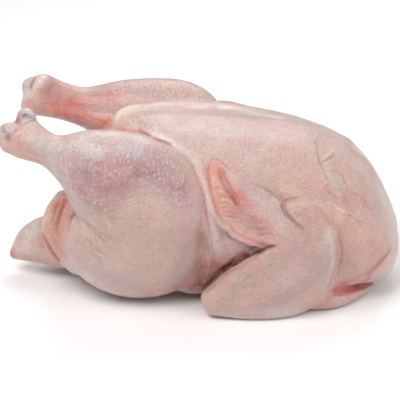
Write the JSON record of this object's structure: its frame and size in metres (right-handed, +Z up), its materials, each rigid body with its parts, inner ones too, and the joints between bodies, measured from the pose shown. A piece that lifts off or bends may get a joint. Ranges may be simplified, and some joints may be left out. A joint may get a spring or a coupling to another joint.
{
  "type": "whole chicken",
  "caption": "Whole raw chicken, plucked and dressed, lying on its back with folded wings, loose legs and an open body cavity.",
  "frame": {"origin": "on the flat of the back that the bird rests on, under the keel near the middle of its length", "axes": "+X from the tail to the neck, +Z up from the back to the breast, so the bird's left side is at -Y"},
  "size_m": [0.2627, 0.1646, 0.1316],
  "materials": {
    "skin": "moist raw poultry skin, semi-gloss"
  },
  "bodies": {
    "root": {"chicken": "skin"}
  },
  "joints": []
}
